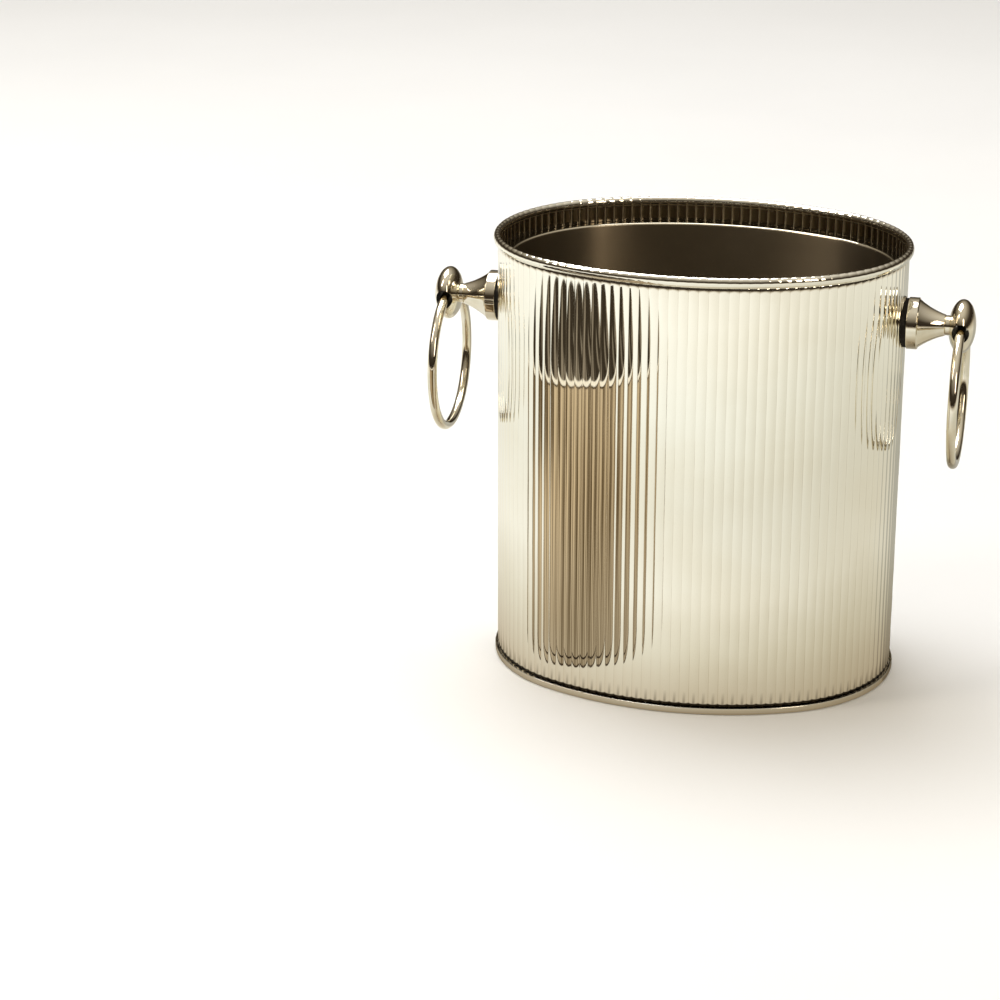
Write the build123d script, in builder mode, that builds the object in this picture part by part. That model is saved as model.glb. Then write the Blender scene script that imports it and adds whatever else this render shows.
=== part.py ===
"""Oval champagne bucket with fluted walls and two drop-ring handles.

Millimetres. The origin is on the floor under the middle of the bucket.
+X runs along the oval's long axis through both handles, and +Z is up.
"""
from build123d import *
from math import atan2, cos, degrees, pi, sin, sqrt
import os

os.makedirs("parts", exist_ok=True)

# ---------------------------------------------------------------- driving dimensions
HEIGHT = 268.0                # floor to the top of the rim
HALF_LENGTH = 122.6           # centre to the rib crests, along X
HALF_WIDTH = 94.3             # centre to the rib crests, along Y
END_RADIUS = 85.8             # plan radius of the two ends, to the rib crests

RIB_COUNT = 120               # ribs round the wall, with a crest on each axis
RIB_HEIGHT = 0.3              # crest above valley
SHEET = 0.8                   # thickness of every sheet-metal piece
FIT = 0.05                    # slack between nested sheet-metal pieces

RIM_OUT = 2.4                 # rolled rim, outside the rib crests
RIM_IN = 1.9                  # rolled rim, inside the rib crests
RIM_TALL = 6.0
WIRE_RADIUS = 1.3             # wire that the rim is rolled round

PAN_OUT = 1.6                 # base pan, outside the rib crests
PAN_LIP = 4.2                 # height of its upturned lip
PAN_BEND = 1.5                # outer radius between its floor and its lip
LIP_EDGE = 0.45 * SHEET       # rounding of its lip's top edge

LINER_IN = 6.8                # rib crests to the liner's outer face
LINER_TOP = 253.0             # height of the liner's flange
LINER_FOOT = 5.0              # height of the liner's lower edge
FLANGE_BEND = 1.6             # outer radius between the flange and the liner's wall
FLOOR_SKIRT = 5.8             # depth of the liner floor's turned-down edge
FLOOR_BEND = 3.0              # outer radius of that turn
SEAL_WIDE = 2.4
SEAL_TALL = 2.0

HANDLE_Z = 222.6              # height of both handles' axes
GASKET_RADIUS = 14.6
GASKET_THICK = 1.3            # over the crest on the handle's axis
DRUM_RADIUS = 15.3            # thick foot of the handle post
DRUM_LONG = 6.3
DRUM_EDGE = 0.5               # rounding of its rims
POST_LONG = 22.0              # drum and neck together
NECK_RADIUS = 6.3
FLARE_LONG = 6.8              # drum to the point where the flare has lost half its radius
FLARE_RADIUS = 9.9            # radius at that point
BALL_RADIUS = 16.0            # across the handle's axis
BALL_HALF_THICK = 8.0         # along the handle's axis
BALL_OUT = 33.0               # rib crests to the middle of the ball
COLLAR_RADIUS = 5.9           # between the neck and the ball
SPIGOT_RADIUS = 3.9           # centres the ball in the end of the post
SPIGOT_LONG = 3.0

RING_RADIUS = 42.0            # middle of the ring to the middle of its wire
RING_WIRE = 2.9               # radius of the ring's wire
RING_PLAY = 0.3               # between the wire and the hole that it passes through
EYE_DROP = 1.0                # the hole below the handle's axis
EYE_STRAIGHT = 10.0           # half-length of the straight part of the hole
EYE_FLARE = 1.6               # widening of the hole at its mouths

SCREW_RADIUS = 2.0            # M4 machine screw
SCREW_PLAY = 0.25             # radial, in each hole that it passes through
SCREW_TIP = 27.0              # rib crests to the tip of the screw
HEAD_RADIUS = 4.0
HEAD_TALL = 2.2
HEAD_EDGE = 0.8
SLOT_WIDE = 1.1
SLOT_DEEP = 1.0
PLATE_THICK = 1.0
PLATE_WIDE = 26.0
PLATE_TALL = 30.0
WASHER_RADIUS = 3.6
WASHER_THICK = 1.0
WASHER_SPLIT = 0.8
SPLIT_TURN = 15               # degrees, of the split from the washer's radius

# ---------------------------------------------------------------- the four-arc oval
# Two end arcs and two side arcs meet tangentially. Every oval of the bucket shares their
# four centres, so a curve offset from the rib crests only changes the radii.
END_CENTRE = HALF_LENGTH - END_RADIUS
SIDE_RADIUS = (END_CENTRE**2 + HALF_WIDTH**2 - END_RADIUS**2) / (2 * (HALF_WIDTH - END_RADIUS))
SIDE_CENTRE = SIDE_RADIUS - HALF_WIDTH
JOIN_ANGLE = atan2(SIDE_CENTRE, END_CENTRE)

# centre, radius, direction of the start, angle turned through
OVAL_ARCS = (
    ((END_CENTRE, 0), END_RADIUS, -JOIN_ANGLE, 2 * JOIN_ANGLE),
    ((0, -SIDE_CENTRE), SIDE_RADIUS, JOIN_ANGLE, pi - 2 * JOIN_ANGLE),
    ((-END_CENTRE, 0), END_RADIUS, pi - JOIN_ANGLE, 2 * JOIN_ANGLE),
    ((0, SIDE_CENTRE), SIDE_RADIUS, pi + JOIN_ANGLE, pi - 2 * JOIN_ANGLE),
)
PERIMETER = sum(radius * turn for _, radius, _, turn in OVAL_ARCS)
RIB_PITCH = PERIMETER / RIB_COUNT
RIB_INSIDE = RIB_HEIGHT + SHEET       # crests to the innermost line of the fluted sheet


def oval_point(distance, offset):
    """Point `offset` outside the crest oval, `distance` along it from +X."""
    remaining = (distance + END_RADIUS * JOIN_ANGLE) % PERIMETER
    for centre, radius, start, turn in OVAL_ARCS:
        if remaining <= radius * turn:
            break
        remaining -= radius * turn
    angle = start + remaining / radius
    reach = radius + offset
    return (centre[0] + reach * cos(angle), centre[1] + reach * sin(angle))


def oval_line(offset):
    """Four tangent arcs, `offset` outside the rib crests."""
    for centre, radius, start, turn in OVAL_ARCS:
        CenterArc(centre, radius + offset, degrees(start), degrees(turn))


def oval(offset):
    """The filled oval, `offset` outside the rib crests."""
    with BuildSketch() as outline:
        with BuildLine():
            oval_line(offset)
        make_face()
    return outline.sketch


def fluted(offset):
    """The filled rib outline moved by `offset`: an arc over each rib, meeting in sharp valleys."""
    with BuildSketch() as outline:
        with BuildLine():
            for rib in range(RIB_COUNT):
                valley = oval_point((rib - 0.5) * RIB_PITCH, offset - RIB_HEIGHT)
                crest = oval_point(rib * RIB_PITCH, offset)
                next_valley = oval_point((rib + 0.5) * RIB_PITCH, offset - RIB_HEIGHT)
                ThreePointArc(valley, crest, next_valley)
        make_face()
    return outline.sketch


# ---------------------------------------------------------------- rolled rim
RIM_Z = HEIGHT - RIM_TALL / 2
RIM_MIDDLE = (RIM_OUT - RIM_IN) / 2
RIM_HALF_WIDE = (RIM_OUT + RIM_IN) / 2

with BuildLine(Plane.XY.offset(RIM_Z)) as rim_path:
    oval_line(RIM_MIDDLE)
rim_loop = rim_path.wire()
RIM_SECTION = Plane(origin=rim_loop @ 0, x_dir=(0, 0, 1), z_dir=rim_loop % 0)

with BuildPart() as rim_wire:
    with BuildSketch(RIM_SECTION):
        Circle(WIRE_RADIUS)
    sweep(path=rim_loop)
rim_wire.part.label = "rim_wire"
export_step(rim_wire.part, "parts/rim_wire.step")

# ---------------------------------------------------------------- outer shell
SCREW_HOLE = SCREW_RADIUS + SCREW_PLAY

with BuildPart() as outer_shell:
    # the fluted wall stands on the base pan and runs up into the rim
    with BuildSketch(Plane.XY.offset(SHEET)):
        add(fluted(0))
        add(fluted(-SHEET), mode=Mode.SUBTRACT)
    extrude(amount=RIM_Z - SHEET)
    # the rim is rolled round its wire
    with BuildSketch(RIM_SECTION):
        Ellipse(RIM_TALL / 2, RIM_HALF_WIDE)
    sweep(path=rim_loop)
    with BuildSketch(RIM_SECTION):
        Circle(WIRE_RADIUS)
    sweep(path=rim_loop, mode=Mode.SUBTRACT)
    # one screw hole at each end
    with BuildSketch(Plane.YZ):
        with Locations((0, HANDLE_Z)):
            Circle(SCREW_HOLE)
    extrude(amount=HALF_LENGTH, both=True, mode=Mode.SUBTRACT)
outer_shell.part.label = "outer_shell"
export_step(outer_shell.part, "parts/outer_shell.step")

# ---------------------------------------------------------------- base pan
with BuildPart() as base_pan:
    with BuildSketch(Plane.XY):
        add(oval(PAN_OUT))
    extrude(amount=PAN_LIP)
    fillet(base_pan.edges().group_by(Axis.Z)[0], radius=PAN_BEND)
    with BuildSketch(Plane.XY.offset(SHEET)):
        add(oval(PAN_OUT - SHEET))
    extrude(amount=PAN_LIP, mode=Mode.SUBTRACT)
    pan_floor = base_pan.faces().filter_by(Axis.Z).sort_by(Axis.Z)[1]
    fillet(pan_floor.edges(), radius=PAN_BEND - SHEET)
    # the lip's top edge is rounded over
    fillet(base_pan.edges().group_by(Axis.Z)[-1], radius=LIP_EDGE)
base_pan.part.label = "base_pan"
export_step(base_pan.part, "parts/base_pan.step")

# ---------------------------------------------------------------- liner
FLANGE_OUT = -RIB_INSIDE - FIT        # outer edge of the flange, just inside the fluted sheet
FLANGE_UNDER = LINER_TOP - SHEET

with BuildPart() as liner_wall:
    with BuildSketch(Plane.XY.offset(LINER_FOOT)):
        add(oval(-LINER_IN))
    extrude(amount=FLANGE_UNDER - LINER_FOOT)
    with BuildSketch(Plane.XY.offset(FLANGE_UNDER)):
        add(oval(FLANGE_OUT))
    extrude(amount=SHEET)
    with BuildSketch(Plane.XY.offset(LINER_FOOT)):
        add(oval(-LINER_IN - SHEET))
    extrude(amount=LINER_TOP - LINER_FOOT, mode=Mode.SUBTRACT)
    # the wall bends outward into the flange
    flange_under = liner_wall.faces().filter_by(Axis.Z).sort_by(Axis.Z)[-2]
    fillet(flange_under.inner_wires()[0].edges(), radius=FLANGE_BEND - SHEET)
    flange_top = liner_wall.faces().filter_by(Axis.Z).sort_by(Axis.Z)[-1]
    fillet(flange_top.inner_wires()[0].edges(), radius=FLANGE_BEND)
liner_wall.part.label = "liner_wall"
export_step(liner_wall.part, "parts/liner_wall.step")

FLOOR_OUT = -LINER_IN - SHEET - FIT   # the floor fits inside the liner's wall

with BuildPart() as liner_floor:
    with BuildSketch(Plane.XY.offset(LINER_FOOT)):
        add(oval(FLOOR_OUT))
    extrude(amount=FLOOR_SKIRT)
    with BuildSketch(Plane.XY.offset(LINER_FOOT)):
        add(oval(FLOOR_OUT - SHEET))
    extrude(amount=FLOOR_SKIRT - SHEET, mode=Mode.SUBTRACT)
    # its edge turns down all round
    floor_under = liner_floor.faces().filter_by(Axis.Z).sort_by(Axis.Z)[-2]
    fillet(floor_under.edges(), radius=FLOOR_BEND - SHEET)
    floor_top = liner_floor.faces().filter_by(Axis.Z).sort_by(Axis.Z)[-1]
    fillet(floor_top.edges(), radius=FLOOR_BEND)
liner_floor.part.label = "liner_floor"
export_step(liner_floor.part, "parts/liner_floor.step")

with BuildPart() as flange_seal:
    with BuildSketch(Plane.XY.offset(FLANGE_UNDER - SEAL_TALL)):
        add(oval(FLANGE_OUT))
        add(oval(FLANGE_OUT - SEAL_WIDE), mode=Mode.SUBTRACT)
    extrude(amount=SEAL_TALL)
flange_seal.part.label = "flange_seal"
export_step(flange_seal.part, "parts/flange_seal.step")

# ---------------------------------------------------------------- handles
# distances from the middle of the bucket, outward along each handle's axis
GASKET_FACE = HALF_LENGTH + GASKET_THICK
DRUM_FACE = GASKET_FACE + DRUM_LONG
POST_END = GASKET_FACE + POST_LONG
BALL_X = HALF_LENGTH + BALL_OUT
PLATE_FACE = HALF_LENGTH - RIB_INSIDE - PLATE_THICK
WASHER_FACE = PLATE_FACE - WASHER_THICK
HEAD_FACE = WASHER_FACE - HEAD_TALL
SCREW_END = HALF_LENGTH + SCREW_TIP

# The ring's wire runs through the ball on a curve. Its hole lies level with the middle of
# that curve, so the wire passes as far above the hole's axis as it later dips below it.
EYE_Z = HANDLE_Z - EYE_DROP
RING_SAG = RING_RADIUS - sqrt(RING_RADIUS**2 - BALL_RADIUS**2)
RING_Z = EYE_Z + RING_SAG / 2 - RING_RADIUS
EYE_RADIUS = RING_WIRE + RING_SAG / 2 + RING_PLAY

for side, sign in (("left", -1), ("right", 1)):
    # sketch planes: across the handle's axis, and upright along it with x pointing outward
    across = Plane(origin=(0, 0, HANDLE_Z), x_dir=(0, sign, 0), z_dir=(sign, 0, 0))
    along = Plane(origin=(0, 0, HANDLE_Z), x_dir=(sign, 0, 0), z_dir=(0, -sign, 0))
    handle_axis = Axis((0, 0, HANDLE_Z), (sign, 0, 0))
    eye_axis = Axis((sign * BALL_X, 0, EYE_Z), (0, 1, 0))

    # rubber pad moulded to the ribs behind it, flat under the drum
    with BuildPart() as gasket:
        with BuildSketch(across.offset(END_CENTRE)):
            Circle(GASKET_RADIUS)
            Circle(SCREW_HOLE, mode=Mode.SUBTRACT)
        extrude(amount=GASKET_FACE - END_CENTRE)
        with BuildSketch(Plane.XY.offset(HANDLE_Z - DRUM_RADIUS)):
            add(fluted(0))
        extrude(amount=2 * DRUM_RADIUS, mode=Mode.SUBTRACT)
    gasket.part.label = side + "_gasket"
    export_step(gasket.part, f"parts/{side}_gasket.step")

    # turned post: drum foot, hollow flare, narrow neck
    with BuildPart() as handle_post:
        with BuildSketch(along):
            with BuildLine():
                Polyline(
                    (POST_END, 0),
                    (GASKET_FACE, 0),
                    (GASKET_FACE, DRUM_RADIUS),
                    (DRUM_FACE, DRUM_RADIUS),
                )
                ThreePointArc(
                    (DRUM_FACE, DRUM_RADIUS),
                    (DRUM_FACE + FLARE_LONG, FLARE_RADIUS),
                    (POST_END, NECK_RADIUS),
                )
                Line((POST_END, NECK_RADIUS), (POST_END, 0))
            make_face()
        revolve(axis=handle_axis)
        rims = handle_post.edges().filter_by(GeomType.CIRCLE)
        fillet(rims.filter_by(lambda rim: rim.radius > DRUM_RADIUS - FIT), radius=DRUM_EDGE)
        with BuildSketch(across.offset(GASKET_FACE)):
            Circle(SCREW_HOLE)
        extrude(amount=POST_LONG, mode=Mode.SUBTRACT)
        with BuildSketch(across.offset(POST_END - SPIGOT_LONG)):
            Circle(SPIGOT_RADIUS + FIT)
        extrude(amount=SPIGOT_LONG, mode=Mode.SUBTRACT)
    handle_post.part.label = side + "_handle_post"
    export_step(handle_post.part, f"parts/{side}_handle_post.step")

    # flattened ball with its collar, its spigot, a tapped hole and the ring's eye
    with BuildPart() as ball_knob:
        with BuildSketch(along):
            with BuildLine():
                EllipticalCenterArc((BALL_X, 0), BALL_HALF_THICK, BALL_RADIUS, 0, arc_size=180)
                Line((BALL_X - BALL_HALF_THICK, 0), (BALL_X + BALL_HALF_THICK, 0))
            make_face()
        revolve(axis=handle_axis)
        with BuildSketch(across.offset(POST_END)):
            Circle(COLLAR_RADIUS)
        extrude(amount=BALL_X - BALL_HALF_THICK / 2 - POST_END)
        with BuildSketch(across.offset(POST_END - SPIGOT_LONG)):
            Circle(SPIGOT_RADIUS)
        extrude(amount=SPIGOT_LONG)
        with BuildSketch(across.offset(POST_END - SPIGOT_LONG)):
            Circle(SCREW_RADIUS)
        extrude(amount=SCREW_END - POST_END + SPIGOT_LONG, mode=Mode.SUBTRACT)
        # half of the eye's outline, straight and then flaring to its mouth, turned about
        # the eye's axis and mirrored to the other mouth
        with BuildSketch(Plane(origin=(sign * BALL_X, 0, EYE_Z), x_dir=(0, 1, 0), z_dir=(1, 0, 0))):
            with BuildLine():
                Polyline(
                    (EYE_STRAIGHT, EYE_RADIUS),
                    (0, EYE_RADIUS),
                    (0, 0),
                    (BALL_RADIUS, 0),
                    (BALL_RADIUS, EYE_RADIUS + EYE_FLARE),
                )
                TangentArc(
                    (EYE_STRAIGHT, EYE_RADIUS),
                    (BALL_RADIUS, EYE_RADIUS + EYE_FLARE),
                    tangent=(1, 0),
                )
            make_face()
            mirror(about=Plane.YZ)
        revolve(axis=eye_axis, mode=Mode.SUBTRACT)
    ball_knob.part.label = side + "_ball_knob"
    export_step(ball_knob.part, f"parts/{side}_ball_knob.step")

    # drop ring
    with BuildPart() as ring:
        with BuildSketch(Plane(origin=(sign * BALL_X, 0, RING_Z), x_dir=(0, 1, 0), z_dir=(0, 0, 1))):
            with Locations((RING_RADIUS, 0)):
                Circle(RING_WIRE)
        revolve(axis=Axis((sign * BALL_X, 0, RING_Z), (1, 0, 0)))
    ring.part.label = side + "_ring"
    export_step(ring.part, f"parts/{side}_ring.step")

    # plate behind the wall, curved to lie on the inner ridges
    with BuildPart() as backing_plate:
        with BuildSketch(Plane.XY.offset(HANDLE_Z - PLATE_TALL / 2)):
            add(oval(-RIB_INSIDE))
            add(oval(-RIB_INSIDE - PLATE_THICK), mode=Mode.SUBTRACT)
            with Locations((sign * HALF_LENGTH, 0)):
                Rectangle(HALF_LENGTH, PLATE_WIDE, mode=Mode.INTERSECT)
        extrude(amount=PLATE_TALL)
        with BuildSketch(across.offset(END_CENTRE)):
            Circle(SCREW_HOLE)
        extrude(amount=HALF_LENGTH - END_CENTRE, mode=Mode.SUBTRACT)
        # flat seat for the spring washer
        with BuildSketch(across.offset(PLATE_FACE)):
            Circle(WASHER_RADIUS + SCREW_PLAY)
        extrude(amount=-PLATE_THICK, mode=Mode.SUBTRACT)
    backing_plate.part.label = side + "_backing_plate"
    export_step(backing_plate.part, f"parts/{side}_backing_plate.step")

    with BuildPart() as spring_washer:
        with BuildSketch(across.offset(WASHER_FACE)):
            Circle(WASHER_RADIUS)
            Circle(SCREW_HOLE, mode=Mode.SUBTRACT)
            with Locations((WASHER_RADIUS, 0)):
                Rectangle(WASHER_RADIUS * 2, WASHER_SPLIT, rotation=SPLIT_TURN, mode=Mode.SUBTRACT)
        extrude(amount=WASHER_THICK)
    spring_washer.part.label = side + "_spring_washer"
    export_step(spring_washer.part, f"parts/{side}_spring_washer.step")

    with BuildPart() as handle_screw:
        with BuildSketch(across.offset(HEAD_FACE)):
            Circle(HEAD_RADIUS)
        extrude(amount=HEAD_TALL)
        head_rim = handle_screw.edges().sort_by(handle_axis)[0]
        fillet(head_rim, radius=HEAD_EDGE)
        with BuildSketch(across.offset(WASHER_FACE)):
            Circle(SCREW_RADIUS)
        extrude(amount=SCREW_END - WASHER_FACE)
        with BuildSketch(across.offset(HEAD_FACE)):
            Rectangle(2 * HEAD_RADIUS, SLOT_WIDE)
        extrude(amount=SLOT_DEEP, mode=Mode.SUBTRACT)
    handle_screw.part.label = side + "_handle_screw"
    export_step(handle_screw.part, f"parts/{side}_handle_screw.step")
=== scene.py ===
"""Looks of the oval champagne bucket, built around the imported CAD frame. Metres, +Z up."""
from math import asin, atan2, degrees, pi, radians, sqrt

import bmesh
import bpy
import numpy as np
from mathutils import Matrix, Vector


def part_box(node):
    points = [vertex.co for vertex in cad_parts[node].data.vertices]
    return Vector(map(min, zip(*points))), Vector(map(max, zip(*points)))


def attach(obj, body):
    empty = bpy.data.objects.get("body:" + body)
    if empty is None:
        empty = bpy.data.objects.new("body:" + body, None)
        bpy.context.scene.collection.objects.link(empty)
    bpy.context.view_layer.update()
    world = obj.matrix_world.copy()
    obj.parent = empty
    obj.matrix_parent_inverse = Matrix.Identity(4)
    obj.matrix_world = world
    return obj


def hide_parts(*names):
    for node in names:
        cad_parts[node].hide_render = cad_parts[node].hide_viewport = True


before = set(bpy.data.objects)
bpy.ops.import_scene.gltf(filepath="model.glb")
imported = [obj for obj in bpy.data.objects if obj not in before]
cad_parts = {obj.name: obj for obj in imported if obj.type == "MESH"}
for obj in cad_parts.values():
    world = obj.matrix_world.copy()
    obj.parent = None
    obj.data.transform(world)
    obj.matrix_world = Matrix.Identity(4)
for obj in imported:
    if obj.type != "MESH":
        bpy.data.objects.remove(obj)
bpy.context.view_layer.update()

MM = 0.001
BUCKET = "bucket"
SIDES = (("left", -1), ("right", 1))

# ---------------------------------------------------------------- sizes, from the frame
shell_low, shell_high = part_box("outer_shell")
pan_low, pan_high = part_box("base_pan")
liner_low, liner_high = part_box("liner_wall")
floor_low, floor_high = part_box("liner_floor")
post_low, post_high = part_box("right_handle_post")
knob_low, knob_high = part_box("right_ball_knob")
ring_low, ring_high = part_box("right_ring")

SHEET = shell_low.z                   # the shell stands on the pan's sheet
HEIGHT = shell_high.z
RIM_OUT = 2.4 * MM                    # rolled rim outside the rib crests
RIM_IN = 1.9 * MM
RIM_TALL = 6.0 * MM
HALF_LENGTH = shell_high.x - RIM_OUT  # to the rib crests
HALF_WIDTH = shell_high.y - RIM_OUT
END_RADIUS = 85.8 * MM                # plan radius of the oval's ends
RIB_COUNT = 120
RIB_HEIGHT = 0.3 * MM
INNER_RIB = 0.5 * MM                  # the ribs' backs, which stand out inside
CREASE = 1.0 * MM                     # how far the ribs' ends dip, inside the crests
PAN_OUT = pan_high.x - HALF_LENGTH
PAN_LIP = pan_high.z
PAN_BEND = 1.5 * MM
LIP_EDGE = 0.36 * MM                  # rounding of the lip's top edge
CREASE_SUNK = 0.9 * MM                # how far the lower crease lies below the lip's top
LINER_IN = 6.8 * MM                   # rib crests to the liner's outer face
FLANGE_BEND = 1.6 * MM
FLOOR_BEND = 3.0 * MM

HANDLE_Z = (post_low.z + post_high.z) / 2
GASKET_FACE = post_low.x
POST_END = post_high.x
DRUM_RADIUS = (post_high.z - post_low.z) / 2
DRUM_LONG = 6.3 * MM
DRUM_EDGE = 0.5 * MM
FLARE_LONG = 6.8 * MM
FLARE_RADIUS = 9.9 * MM
NECK_RADIUS = 6.3 * MM
BORE_RADIUS = 2.25 * MM
POST_SOFT = 0.25 * MM                 # rounding where the post and the ball's collar meet
BALL_X = (ring_low.x + ring_high.x) / 2
BALL_RADIUS = (knob_high.z - knob_low.z) / 2
BALL_HALF_THICK = knob_high.x - BALL_X
COLLAR_RADIUS = 5.9 * MM
RING_WIRE = (ring_high.x - ring_low.x) / 2
RING_Z = (ring_low.z + ring_high.z) / 2
RING_RADIUS = (ring_high.z - ring_low.z) / 2 - RING_WIRE
EYE_Z = HANDLE_Z - 1.0 * MM           # the hole lies a little below the handle's axis
EYE_RADIUS = 4.78 * MM
EYE_STRAIGHT = 10.0 * MM
EYE_FLARE = 1.6 * MM
EYE_MIDDLE = (0.82, 0.28)             # a point of the flare, as shares of the ball and of the flare

# ---------------------------------------------------------------- the four-arc oval
END_CENTRE = HALF_LENGTH - END_RADIUS
SIDE_RADIUS = (END_CENTRE**2 + HALF_WIDTH**2 - END_RADIUS**2) / (2 * (HALF_WIDTH - END_RADIUS))
SIDE_CENTRE = SIDE_RADIUS - HALF_WIDTH
JOIN_ANGLE = atan2(SIDE_CENTRE, END_CENTRE)
OVAL_ARCS = (
    ((END_CENTRE, 0), END_RADIUS, -JOIN_ANGLE, 2 * JOIN_ANGLE),
    ((0, -SIDE_CENTRE), SIDE_RADIUS, JOIN_ANGLE, pi - 2 * JOIN_ANGLE),
    ((-END_CENTRE, 0), END_RADIUS, pi - JOIN_ANGLE, 2 * JOIN_ANGLE),
    ((0, SIDE_CENTRE), SIDE_RADIUS, pi + JOIN_ANGLE, pi - 2 * JOIN_ANGLE),
)
PERIMETER = sum(radius * turn for _, radius, _, turn in OVAL_ARCS)
RIB_PITCH = PERIMETER / RIB_COUNT
RIB_ARC = (RIB_PITCH**2 / 4 + RIB_HEIGHT**2) / (2 * RIB_HEIGHT)   # radius of each rib's arc


def oval_frame(distances):
    """Centre, radius and direction of the crest oval at each distance along it from +X."""
    along = (distances + END_RADIUS * JOIN_ANGLE) % PERIMETER
    centres = np.zeros((len(along), 2))
    radii = np.zeros(len(along))
    angles = np.zeros(len(along))
    passed = 0.0
    for centre, radius, start, turn in OVAL_ARCS:
        here = (along >= passed) & (along <= passed + radius * turn)
        centres[here] = centre
        radii[here] = radius
        angles[here] = start + (along[here] - passed) / radius
        passed += radius * turn
    return centres, radii, np.stack([np.cos(angles), np.sin(angles)], 1)


def oval_rows(distances, offsets, heights):
    """Points (rows, columns, 3) at their offsets from the rib crests and their heights.

    offsets and heights hold one number for each row, or one for each row and column."""
    centres, radii, directions = oval_frame(distances)
    offsets, heights = (np.asarray(values, float) for values in (offsets, heights))
    offsets = offsets[:, None] if offsets.ndim == 1 else offsets
    heights = heights[:, None] if heights.ndim == 1 else heights
    points = np.zeros((len(offsets), len(distances), 3))
    reach = radii[None] + offsets
    points[..., :2] = centres[None] + reach[..., None] * directions[None]
    points[..., 2] = heights
    return points


# ---------------------------------------------------------------- mesh helpers
def arc(centre, radii, start, end, count):
    """Points on an ellipse arc from angle start to end, in degrees."""
    turn = np.radians(np.linspace(start, end, count))
    return np.stack([centre[0] + radii[0] * np.cos(turn), centre[1] + radii[1] * np.sin(turn)], 1)


def arc_through(first, middle, last, count):
    """Points on the circle through three points, from the first to the last."""
    (ax, ay), (bx, by), (cx, cy) = first, middle, last
    twice = 2 * (ax * (by - cy) + bx * (cy - ay) + cx * (ay - by))
    a2, b2, c2 = ax**2 + ay**2, bx**2 + by**2, cx**2 + cy**2
    centre = ((a2 * (by - cy) + b2 * (cy - ay) + c2 * (ay - by)) / twice,
              (a2 * (cx - bx) + b2 * (ax - cx) + c2 * (bx - ax)) / twice)
    radius = sqrt((ax - centre[0])**2 + (ay - centre[1])**2)
    start, end = (degrees(atan2(y - centre[1], x - centre[0])) for x, y in (first, last))
    return arc(centre, (radius, radius), start, end, count)


def finish_mesh(name, mesh, body):
    """Turns every face outward and smooth, and lets the piece ride on its body."""
    shape = bmesh.new()
    shape.from_mesh(mesh)
    bmesh.ops.recalc_face_normals(shape, faces=shape.faces)
    shape.to_mesh(mesh)
    shape.free()
    mesh.polygons.foreach_set("use_smooth", [True] * len(mesh.polygons))
    mesh.update()
    piece = bpy.data.objects.new(name, mesh)
    bpy.context.scene.collection.objects.link(piece)
    if body:
        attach(piece, body)
    return piece


def add_mark(mesh, mark, values):
    """Stores a named value for every point of a mesh."""
    layer = mesh.attributes.new(mark, "FLOAT", "POINT")
    layer.data.foreach_set("value", np.asarray(values, np.float32).ravel())


def grid_object(name, points, close_rows=True, caps=(), body=BUCKET, marks=None):
    """A closed quad mesh over points (rows, columns, 3), which always join up along a row.

    close_rows joins the last row to the first. caps names the rows filled with one flat face.
    marks holds named values for every point, which the materials read."""
    rows, columns = points.shape[:2]
    index = np.arange(rows * columns).reshape(rows, columns)
    nexts = np.roll(index, -1, 1)
    faces = []
    for row in range(rows if close_rows else rows - 1):
        above = (row + 1) % rows
        faces.extend(np.stack([index[row], nexts[row], nexts[above], index[above]], 1).tolist())
    for row in caps:
        faces.append(index[row].tolist())
    mesh = bpy.data.meshes.new(name)
    mesh.from_pydata(points.reshape(-1, 3).tolist(), [], faces)
    for mark, values in (marks or {}).items():
        add_mark(mesh, mark, values)
    return finish_mesh(name, mesh, body)


def turned(profile, sign, columns=128):
    """Points of a profile (distance out from the bucket's middle, radius) turned about a handle's axis."""
    turn = np.linspace(0, 2 * pi, columns, endpoint=False)
    points = np.zeros((len(profile), columns, 3))
    points[..., 0] = sign * profile[:, 0:1]
    points[..., 1] = profile[:, 1:2] * np.cos(turn)[None]
    points[..., 2] = HANDLE_Z + profile[:, 1:2] * np.sin(turn)[None]
    return points


def waves(seed, count, shortest, longest, size):
    """A few crossing ripples, as a function of two distances: hand-finished metal isn't true."""
    chance = np.random.default_rng(seed)
    lengths = chance.uniform(shortest, longest, count)
    turns = chance.uniform(0, pi, count)
    phases = chance.uniform(0, 2 * pi, count)

    def height(across, up):
        total = 0.0
        for length, turn, phase in zip(lengths, turns, phases):
            total = total + np.sin(2 * pi * (across * np.cos(turn) + up * np.sin(turn)) / length + phase)
        return size * total / sqrt(count)
    return height


# ---------------------------------------------------------------- materials
def fill_ramp(ramp, stops):
    """Puts a ramp's stops at these places, with these colours."""
    ramp.elements.remove(ramp.elements[-1])
    for number, (place, colour) in enumerate(stops):
        stop = ramp.elements.new(place) if number else ramp.elements[0]
        stop.position = place
        stop.color = (*colour, 1)


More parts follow.
